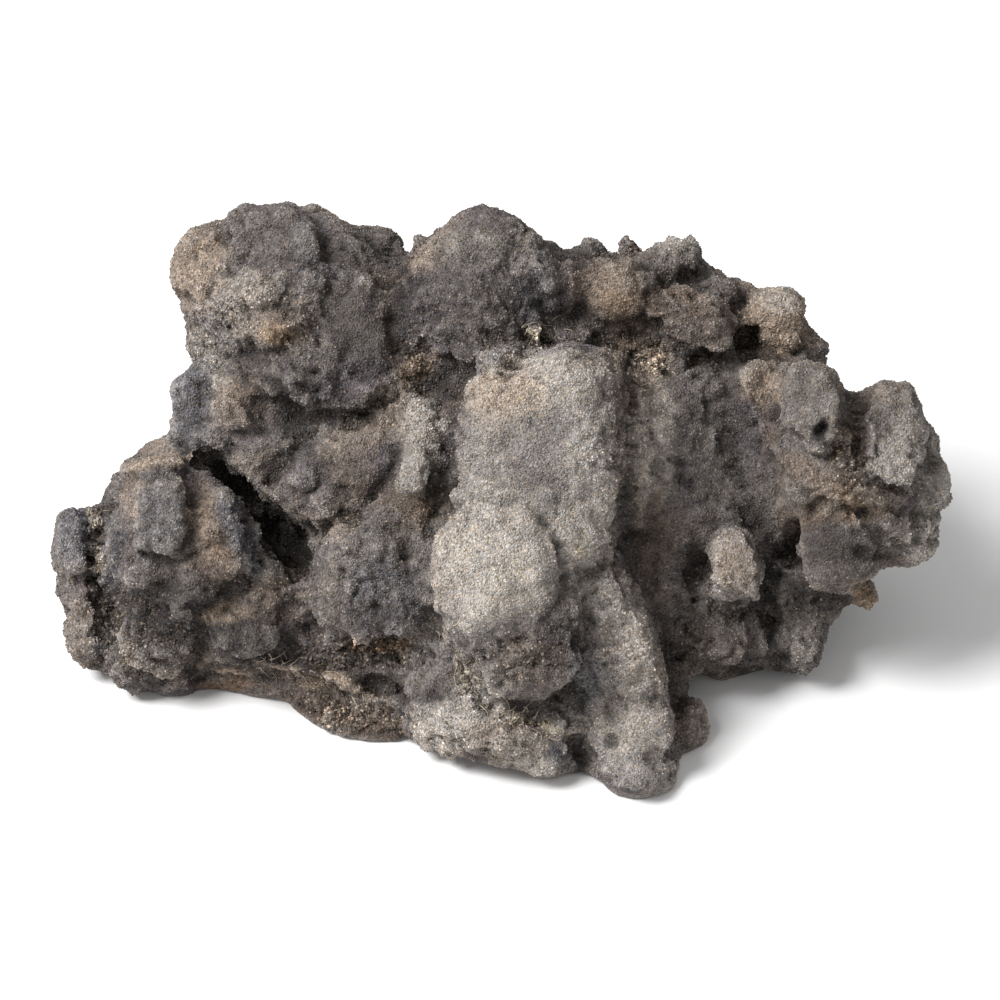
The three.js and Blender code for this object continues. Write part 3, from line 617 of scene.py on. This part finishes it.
def mixed(base, name, share):
    """The colours of base with a share of a named colour."""
    share = np.clip(share, 0, 1)[:, None]
    return base * (1 - share) + np.array(COLOURS[name]) * share


def relief_of(mesh, turns):
    """How far each vertex stands above its surroundings, in millimetres."""
    points, normals = read(mesh, "co"), read(mesh, "normal")
    smooth = evened(points, edges_of(mesh), turns)
    return ((points - smooth) * normals).sum(1) / MM


def store(mesh, name, kind, what, values):
    """Keeps a value or a colour at every vertex."""
    layer = mesh.attributes.new(name, kind, "POINT")
    layer.data.foreach_set(what, values.astype(np.float32).ravel())


def colour_zones(mesh):
    """Lays down the crust's colours, with painted shade in its dips and painted light on its rises,
    and where sand and crumbs lie.
    """
    points, normals = read(mesh, "co"), read(mesh, "normal")
    base = np.tile(COLOURS["grey"], (len(points), 1))
    for name, strength, size, seed, more in CLOUDS:
        base = mixed(base, name, strength * noise_at(points, size, seed) + more)
    right, up = wavering_places(points, 3, 5)
    shown = facing(normals, 2.5, 0.6)
    for name, strength, *shape in PATCHES:
        share = np.clip(1.8 * (1.2 - oval(right, up, *shape)), 0, 1)
        base = mixed(base, name, share * (strength / 100) * shown)
    fine, broad, wide = (relief_of(mesh, turns) for turns in RELIEF_FOR_PAINTED_SHADE)
    # Painted shade: black in the dips among the lumps, dark in the broad dips between the forms;
    # painted light: pale on the lumps that stand out.
    base = mixed(base, "black", np.clip(-broad * 0.32 - 0.08, 0, 0.8))
    base = mixed(base, "dark", np.clip(-wide * 0.10 - 0.05, 0, 0.5))
    base = mixed(base, "pale", np.clip(broad * 0.10 - 0.05, 0, 0.3))
    # Painted light and shade at the grain's scale: lighter where the skin stands up, darker in its
    # small dips.
    base *= (1 + np.clip(0.55 * fine, -0.5, 0.25))[:, None]
    store(mesh, "zone", "FLOAT_COLOR", "color", np.c_[base, np.ones(len(base))])
    rough = crumbliness(points, normals)
    clear = np.clip(points[:, 2] / MM / 3 - 0.6, 0, 1)
    held = clear * (0.35 + 0.65 * facing(normals, 2, 0.6))
    for name, values in (
        ("contrast", 0.4 + 0.6 * rough),
        ("grit", held * np.clip(0.4 + 0.6 * rough, 0, 1)),
        ("crumbs", held * np.clip(rough - 0.8 - 0.25 * broad, 0, 1) ** 2),
    ):
        store(mesh, name, "FLOAT", "value", values)


# ---- materials

PATTERN_GRAIN = 0.6  # size of the grains in the crust's pattern, in millimetres
PATTERN_DEPTH = 0.0005  # depth of that pattern, in metres


def group(name, kind, inputs, outputs):
    """A new node group, whose sockets are given as name: type, and what comes in."""
    tree = bpy.data.node_groups.new(name, kind)
    for way, sockets in (("INPUT", inputs), ("OUTPUT", outputs)):
        for title, what in sockets.items():
            tree.interface.new_socket(title, in_out=way, socket_type="NodeSocket" + what)
    return tree, tree.nodes.new("NodeGroupInput").outputs


def node(tree, kind, inputs=(), **properties):
    """The outputs of a new node. Each of its inputs is a value, or an output of another node."""
    made = tree.nodes.new(kind)
    for name, value in properties.items():
        setattr(made, name, value)
    for key, value in dict(inputs).items():
        if isinstance(value, bpy.types.NodeSocket):
            tree.links.new(value, made.inputs[key])
        else:
            made.inputs[key].default_value = value
    return made.outputs


def math_node(tree, operation, *values):
    """The output of a maths node."""
    return node(tree, "ShaderNodeMath", enumerate(values), operation=operation)[0]


def mix_node(tree, share, one, other, blend="MIX"):
    """The output of a node that mixes two colours."""
    inputs = {0: share, 6: one, 7: other}
    return node(tree, "ShaderNodeMix", inputs, data_type="RGBA", blend_type=blend)[2]


def scaled(tree, colour, scale):
    """The output of a node that makes a colour lighter or darker."""
    inputs = {0: colour, "Scale": scale}
    return node(tree, "ShaderNodeVectorMath", inputs, operation="SCALE")[0]


def attribute(tree, name, output="Fac"):
    """What was stored at the vertices under that name."""
    return node(tree, "ShaderNodeAttribute", attribute_name=name)[output]


def pattern_group():
    """Sand as a pattern: a tone and a height that change from grain to grain."""
    outputs = {"Tone": "Float", "Height": "Float"}
    tree, get = group("sand pattern", "ShaderNodeTree", {"Grain Size": "Float"}, outputs)
    place = node(tree, "ShaderNodeTexCoord")["Object"]
    scale = math_node(tree, "DIVIDE", 1 / MM, get["Grain Size"])
    cells = node(tree, "ShaderNodeTexVoronoi", {"Vector": place, "Scale": scale})
    split = node(tree, "ShaderNodeSeparateColor", {0: cells["Color"]})
    fine = node(tree, "ShaderNodeTexNoise", {"Vector": place, "Scale": scale, "Detail": 3})
    high = math_node(tree, "MULTIPLY_ADD", cells["Distance"], -0.9, fine[0])
    node(tree, "NodeGroupOutput", {"Tone": split[0], "Height": high})
    return tree


def grain_group():
    """The colour of single grains: black, the zone's own colour or pale quartz, warm or cool."""
    inputs = {"Zone": "Color", "Tone": "Float", "Contrast": "Float"}
    tree, get = group("grain colours", "ShaderNodeTree", inputs, {"Color": "Color"})
    ramp = node(tree, "ShaderNodeValToRGB", {0: get["Tone"]})[0]
    stops = ramp.node.color_ramp.elements
    stops[0].color = (0.10, 0.10, 0.10, 1)
    stops[1].color = (1, 1, 1, 1)
    for place, level in ((0.18, 0.24), (0.55, 0.38), (0.88, 0.60)):
        stops.new(place).color = (level, level, level, 1)
    level = math_node(tree, "MULTIPLY", ramp, 2.5)
    level = math_node(tree, "POWER", level, get["Contrast"])
    other = math_node(tree, "FRACT", math_node(tree, "MULTIPLY", get["Tone"], 57.0))
    hue = mix_node(tree, other, (1.10, 0.99, 0.86, 1), (0.95, 1.0, 1.07, 1))
    tinted = mix_node(tree, 1.0, get["Zone"], hue, "MULTIPLY")
    node(tree, "NodeGroupOutput", {"Color": scaled(tree, tinted, level)})
    return tree


def new_material(name, roughness=0.95, shine=0.25):
    """A material, as dull as dry sand unless told otherwise, with its tree and its inputs."""
    material = bpy.data.materials.new(name)
    material.use_nodes = True
    inputs = material.node_tree.nodes["Principled BSDF"].inputs
    inputs["Roughness"].default_value = roughness
    inputs["Specular IOR Level"].default_value = shine
    return material, material.node_tree, inputs


def crust_material(speckle):
    """The stone's crust: its zone colours, speckled from grain to grain."""
    material, tree, surface = new_material("ironstone crust")
    pattern = {"Grain Size": PATTERN_GRAIN}
    sand = node(tree, "ShaderNodeGroup", pattern, node_tree=pattern_group())
    inputs = {"Zone": attribute(tree, "zone", "Color"), "Tone": sand["Tone"], "Contrast": speckle}
    coloured = node(tree, "ShaderNodeGroup", inputs, node_tree=grain_group())
    relief = {"Distance": PATTERN_DEPTH, "Height": sand["Height"]}
    tree.links.new(coloured[0], surface["Base Color"])
    tree.links.new(node(tree, "ShaderNodeBump", relief)[0], surface["Normal"])
    return material


def grain_material(name, stain, share):
    """Loose grains on the crust: its zone colour, stained a little, and a tone for each grain."""
    material, tree, surface = new_material(name)
    inputs = {
        "Zone": mix_node(tree, share, attribute(tree, "zone", "Color"), (*stain, 1)),
        "Tone": attribute(tree, "tone"),
        "Contrast": attribute(tree, "contrast"),
    }
    grains = bpy.data.node_groups["grain colours"]
    coloured = node(tree, "ShaderNodeGroup", inputs, node_tree=grains)
    tree.links.new(coloured[0], surface["Base Color"])
    return material


# ---- scattering

SEGMENTS, RINGS = 4, 2  # of the sphere that makes a grain


def scatter_tree():
    """Scatters turned grains over a crust, thickest where the attribute named Where is high."""
    inputs = {"Crust": "Geometry", "Where": "String", "Seed": "Int"}
    inputs.update(dict.fromkeys(("Density", "Smallest", "Largest"), "Float"))
    tree, get = group("scatter", "GeometryNodeTree", inputs, {"Grains": "Geometry"})
    seed = get["Seed"]
    where = node(tree, "GeometryNodeInputNamedAttribute", {"Name": get["Where"]})[0]
    density = math_node(tree, "MULTIPLY", where, get["Density"])
    inputs = {"Mesh": get["Crust"], "Density": density, "Seed": seed}
    points = node(tree, "GeometryNodeDistributePointsOnFaces", inputs)["Points"]
    tone = node(tree, "FunctionNodeRandomValue", {"Seed": seed})[1]
    inputs = {"Geometry": points, "Name": "tone", "Value": tone}
    points = node(tree, "GeometryNodeStoreNamedAttribute", inputs)[0]
    inputs = {"Segments": SEGMENTS, "Rings": RINGS, "Radius": 1}
    laid = {"Points": points, "Instance": node(tree, "GeometryNodeMeshUVSphere", inputs)["Mesh"]}
    for key, least, most, more in (
        ("Rotation", (0, 0, 0), (math.tau, math.tau, math.tau), 100),
        ("Scale", get["Smallest"], get["Largest"], 200),
    ):
        inputs = {0: least, 1: most, "Seed": math_node(tree, "ADD", seed, more)}
        laid[key] = node(tree, "FunctionNodeRandomValue", inputs, data_type="FLOAT_VECTOR")[0]
    whole = {"Geometry": node(tree, "GeometryNodeInstanceOnPoints", laid)[0]}
    node(tree, "NodeGroupOutput", {0: node(tree, "GeometryNodeRealizeInstances", whole)[0]})
    return tree


def weighed(mesh, name):
    """The mesh's area in square metres, each face weighed by the attribute of that name."""
    corner = numbers(mesh.loops, "vertex_index", kind=np.int32)
    first = corner[numbers(mesh.polygons, "loop_start", kind=np.int32)]
    value = numbers(mesh.attributes[name].data, "value")
    return float((numbers(mesh.polygons, "area") * value[first]).sum())


def texture_cells(mesh, faces):
    """Gives each grain one small cell of its own in the texture map, as it has a single colour."""
    across = math.ceil(math.sqrt(len(mesh.polygons) // faces))
    grain = np.arange(len(mesh.polygons)) // faces
    start = numbers(mesh.polygons, "loop_start", kind=np.int32)
    owner = np.repeat(np.arange(len(start)), numbers(mesh.polygons, "loop_total", kind=np.int32))
    corner = np.arange(len(owner)) - start[owner]
    cell = np.stack([grain % across, grain // across], 1)[owner]
    place = np.array([(0.05, 0.05), (0.95, 0.05), (0.95, 0.95), (0.05, 0.95)])[corner]
    layer = mesh.uv_layers.new(name="OFBake")
    layer.data.foreach_set("uv", ((cell + place) / across).astype(np.float32).ravel())


def scatter(name, where, settings, seed, material):
    """Lays a piece of its own on the stone: about the settings' count of grains."""
    piece = link(the_stone().data.copy(), name)
    tree = bpy.data.node_groups.get("scatter") or scatter_tree()
    modifier = piece.modifiers.new("scatter", "NODES")
    modifier.node_group = tree
    values = {
        "Where": where,
        "Density": settings.count / weighed(piece.data, where),
        "Smallest": settings.smallest,
        "Largest": settings.largest,
        "Seed": seed,
    }
    for key, value in values.items():
        modifier[tree.interface.items_tree[key].identifier] = value
    mesh = apply_modifiers(piece)
    if not mesh.polygons:
        raise RuntimeError(f"no grains were laid for {name}")
    mesh.materials.clear()
    mesh.materials.append(material)
    texture_cells(mesh, SEGMENTS * RINGS)
    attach(piece, "root")


# ---- pieces


def link(data, name):
    """A new object in the scene."""
    made = bpy.data.objects.new(name, data)
    bpy.context.scene.collection.objects.link(made)
    return made


def piece_of(work, name):
    """A new object in the scene, of the faces that were worked out."""
    mesh = bpy.data.meshes.new(name)
    work.to_mesh(mesh)
    work.free()
    return link(mesh, name)


def the_stone():
    """The stone, which has to be there before what lies on it."""
    stone = bpy.data.objects.get("stone")
    if stone is None:
        raise RuntimeError("the stone has to be made first")
    return stone


def aim(thing, place, way):
    """Puts a light or the camera at a place, looking one way."""
    thing.location = place
    thing.rotation_mode = "QUATERNION"
    thing.rotation_quaternion = way.to_track_quat("-Z", "Y")


def mesh_made_of(piece):
    """The mesh that a piece's modifiers or the thickness of its lines make."""
    graph = bpy.context.evaluated_depsgraph_get()
    return bpy.data.meshes.new_from_object(piece.evaluated_get(graph))


def apply_modifiers(piece):
    """Replaces the piece's mesh by what its modifiers make of it."""
    made = mesh_made_of(piece)
    piece.modifiers.clear()
    piece.data = made
    return made


def even_faces(piece, cell, softened):
    """Gives the piece even faces of one size, softened a number of times."""
    remesh = piece.modifiers.new("even faces", "REMESH")
    remesh.mode = "VOXEL"
    remesh.voxel_size = cell
    smooth = piece.modifiers.new("soft corners", "SMOOTH")
    smooth.iterations = softened
    mesh = apply_modifiers(piece)
    mesh.materials.clear()
    return mesh


ROOTLET_STEP = 0.6  # between the points of a rootlet, in the layout's millimetres


def rootlet(curve, tree, chance, start, heading, length, thick):
    """One rootlet: points that wander over the skin until it is long enough or meets a brink."""
    place, spots = np.array(start, float), []
    for _ in range(int(length / ROOTLET_STEP)):
        spot = skin_behind(tree, sight_place(*place))
        if spot is None or (spots and (spot - spots[-1]).length > 3 * ROOTLET_STEP * MM):
            break
        spots.append(spot)
        heading += chance.normal(0, 0.28)
        place += ROOTLET_STEP * np.array([math.cos(heading), math.sin(heading)])
    if len(spots) < 4:
        return
    run = curve.splines.new("POLY")
    run.points.add(len(spots) - 1)
    for i, (point, spot) in enumerate(zip(run.points, spots)):
        share = i / (len(spots) - 1)
        lift = MM * (0.15 + 0.3 * math.sin(math.pi * share))
        point.co = (*(spot + BACK * lift), 1)
        point.radius = thick * (1.1 - 0.9 * share)


# What a user would change: sizes in metres, and colours.
Length = partial(FloatProperty, unit="LENGTH")
Colour = partial(FloatVectorProperty, subtype="COLOR")


class StoneSettings(PropertyGroup):
    cell: Length(name="Cell", description="Size of the faces of the crust", default=0.00122)
    faces: IntProperty(name="Faces", description="Triangles left in the crust", default=194000)
    lump: Length(name="Lumps", description="Height of the small lumps", default=0.0016)
    swell: Length(name="Swell", description="Height of the soft unevenness", default=0.0011)
    crag: Length(name="Crags", description="Height of the crags of the crust", default=0.0012)
    crumb: Length(name="Crumbs", description="Height of the crumbs of the crust", default=0.0009)
    stand: FloatProperty(
        name="Stand", description="How far the lobes stand out, times their rise", default=1.3
    )
    stroke: FloatProperty(
        name="Strokes", description="Depth of ledges and grooves, times their own", default=1.35
    )
    crease: Length(
        name="Creases", description="Depth of the creases round the lobes", default=0.0028
    )
    speckle: FloatProperty(
        name="Speckle", description="How much the tone differs from grain to grain", default=0.5
    )
    seed: IntProperty(
        name="Seed", description="Another crust over the same forms, from 1", default=2, min=1
    )


class SandSettings(PropertyGroup):
    smallest: Length(name="Smallest", description="Least half-axis of a grain", default=0.00026)
    largest: Length(name="Largest", description="Greatest half-axis of a grain", default=0.00056)
    count: IntProperty(name="Grains", description="Grains in each of the layers", default=21000)
    layers: IntProperty(name="Layers", description="Layers of grains", default=5)
    seed: IntProperty(name="Seed", description="Another scatter of the same sand", default=4)


class CrumbSettings(PropertyGroup):
    smallest: Length(name="Smallest", description="Least half-axis of a crumb", default=0.0004)
    largest: Length(name="Largest", description="Greatest half-axis of a crumb", default=0.0009)
    count: IntProperty(name="Crumbs", description="Crumbs on the stone", default=12000)
    stain: Colour(
        name="Stain", description="Colour of their rust and lime", default=(0.36, 0.29, 0.20)
    )
    seed: IntProperty(name="Seed", description="Another scatter of the same crumbs", default=40)


class RootletSettings(PropertyGroup):
    thick: Length(name="Thickness", description="Half the thickness of a rootlet", default=0.00024)
    colour: Colour(
        name="Colour", description="Colour of the dry rootlets", default=(0.42, 0.36, 0.27)
    )
    seed: IntProperty(name="Seed", description="Another growth of the same rootlets", default=7)


class StageSettings(PropertyGroup):
    floor: Colour(name="Floor", description="Colour of the floor", default=(0.92, 0.92, 0.92))
    sky: FloatProperty(name="Sky", description="Strength of the light all round", default=0.50)
    key: FloatProperty(
        name="Key", description="Strength of the main light", default=48.0, unit="POWER"
    )


class IRONSTONE_OT_stone(Operator):
    """Models the stone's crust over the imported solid"""

    bl_idname = "ironstone.stone"
    bl_label = "Stone"

    def execute(self, context):
        settings = context.scene.ironstone_stone
        work = bmesh.new()
        work.from_mesh(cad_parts[NODE].data)
        bmesh.ops.remove_doubles(work, verts=work.verts, dist=1e-6)
        stone = piece_of(work, "stone")
        mesh = even_faces(stone, COARSE * settings.cell, 5)
        grow_lobes(mesh, settings.stand)
        mesh = even_faces(stone, COARSE * settings.cell, 2)
        sculpt(mesh, settings)
        mesh = even_faces(stone, settings.cell, 1)
        if len(mesh.vertices) < 1000:
            raise RuntimeError("the stone's skin was lost")
        roughen(mesh, settings)
        mesh = fewer_hidden_faces(stone, settings.faces)
        colour_zones(mesh)
        mesh.polygons.foreach_set("use_smooth", np.ones(len(mesh.polygons), bool))
        mesh.materials.append(crust_material(settings.speckle))
        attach(stone, "root")
        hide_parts(NODE)
        return {"FINISHED"}


class IRONSTONE_OT_sand(Operator):
    """Lays the sand on the crust, grain by grain"""

    bl_idname = "ironstone.sand"
    bl_label = "Sand"

    def execute(self, context):
        settings = context.scene.ironstone_sand
        material = grain_material("sand", (0.3, 0.3, 0.3), 0.05)
        for layer in range(settings.layers):
            scatter(f"sand_{layer + 1}", "grit", settings, settings.seed + layer, material)
        return {"FINISHED"}


class IRONSTONE_OT_crumbs(Operator):
    """Lays the larger crumbs in the rough places of the crust"""

    bl_idname = "ironstone.crumbs"
    bl_label = "Crumbs"

    def execute(self, context):
        settings = context.scene.ironstone_crumbs
        material = grain_material("crumbs", settings.stain, 0.12)
        scatter("crumbs", "crumbs", settings, settings.seed, material)
        return {"FINISHED"}


class IRONSTONE_OT_rootlets(Operator):
    """Lays the dry rootlets along the seams of the crust"""

    bl_idname = "ironstone.rootlets"
    bl_label = "Rootlets"

    def execute(self, context):
        settings = context.scene.ironstone_rootlets
        skin = tree_of(the_stone().data)
        chance = np.random.default_rng(settings.seed)
        curve = bpy.data.curves.new("rootlets", "CURVE")
        curve.dimensions = "3D"
        curve.bevel_depth = settings.thick
        curve.bevel_resolution = 0
        curve.use_fill_caps = True
        for path, spread, count in ROOTLETS:
            line = curved(path)
            for _ in range(count):
                i = chance.integers(len(line) - 1)
                run = line[i + 1] - line[i]
                heading = math.atan2(run[1], run[0]) + chance.normal(0, 0.9)
                start = line[i] + chance.normal(0, spread, 2)
                length, thick = chance.uniform(3, 8), chance.uniform(0.5, 1)
                rootlet(curve, skin, chance, start, heading, length, thick)
        if not curve.splines:
            raise RuntimeError("no rootlet found a hold")
        draft = link(curve, "rootlets draft")
        mesh = mesh_made_of(draft)
        bpy.data.objects.remove(draft)
        material, tree, surface = new_material("rootlets")
        place = node(tree, "ShaderNodeTexCoord")["Object"]
        mottle = node(tree, "ShaderNodeTexNoise", {"Vector": place, "Scale": 400.0, "Detail": 2})
        limits = {0: mottle[0], "To Min": 0.4, "To Max": 1.5}
        tone = node(tree, "ShaderNodeMapRange", limits)[0]
        tree.links.new(scaled(tree, tuple(settings.colour), tone), surface["Base Color"])
        mesh.materials.append(material)
        rootlets = link(mesh, "rootlets")
        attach(rootlets, "root")
        return {"FINISHED"}


class IRONSTONE_OT_stage(Operator):
    """Lays the floor and sets the lights and the camera"""

    bl_idname = "ironstone.stage"
    bl_label = "Stage"

    def execute(self, context):
        settings = context.scene.ironstone_stage
        scene = context.scene
        work = bmesh.new()
        bmesh.ops.create_grid(work, x_segments=1, y_segments=1, size=6)
        floor = piece_of(work, "floor")
        material, _, surface = new_material("floor", 0.9, 0.5)
        surface["Base Color"].default_value = (*settings.floor, 1)
        floor.data.materials.append(material)
        scene.world = bpy.data.worlds.new("studio")
        scene.world.use_nodes = True
        sky = scene.world.node_tree.nodes["Background"]
        sky.inputs[0].default_value = (1, 1, 1, 1)
        sky.inputs[1].default_value = settings.sky
        light = bpy.data.lights.new("key", "AREA")
        light.energy = settings.key
        light.size = 0.8
        corner = Vector((-1.05, -0.35, 1.4))
        aim(link(light, "key"), corner, (Vector((0, 0, 0.05)) - corner).normalized())
        camera = bpy.data.cameras.new("camera")
        camera.sensor_width = FILM_WIDTH
        camera.lens = FILM_WIDTH * DISTANCE / WIDTH_SEEN
        scene.camera = link(camera, "camera")
        aim(scene.camera, EYE, -BACK)
        scene.view_settings.view_transform = "Standard"
        return {"FINISHED"}


SETTINGS = {
    "stone": StoneSettings,
    "sand": SandSettings,
    "crumbs": CrumbSettings,
    "rootlets": RootletSettings,
    "stage": StageSettings,
}


class IRONSTONE_PT_panel(Panel):
    """Lists the pieces and their settings"""

    bl_idname = "IRONSTONE_PT_panel"
    bl_label = "Ironstone"
    bl_space_type = "VIEW_3D"
    bl_region_type = "UI"
    bl_category = "Ironstone"

    def draw(self, context):
        for name, kind in SETTINGS.items():
            box = self.layout.box()
            box.operator("ironstone." + name)
            for key in kind.__annotations__:
                box.prop(getattr(context.scene, "ironstone_" + name), key)


CLASSES = (
    *SETTINGS.values(),
    IRONSTONE_OT_stone,
    IRONSTONE_OT_sand,
    IRONSTONE_OT_crumbs,
    IRONSTONE_OT_rootlets,
    IRONSTONE_OT_stage,
    IRONSTONE_PT_panel,
)


def register():
    for cls in CLASSES:
        bpy.utils.register_class(cls)
    for name, kind in SETTINGS.items():
        setattr(bpy.types.Scene, "ironstone_" + name, PointerProperty(type=kind))


def unregister():
    for name in SETTINGS:
        delattr(bpy.types.Scene, "ironstone_" + name)
    for cls in reversed(CLASSES):
        bpy.utils.unregister_class(cls)


def main():
    register()
    bpy.ops.ironstone.stone()
    bpy.ops.ironstone.sand()
    bpy.ops.ironstone.crumbs()
    bpy.ops.ironstone.rootlets()
    bpy.ops.ironstone.stage()


if __name__ == "__main__":
    main()
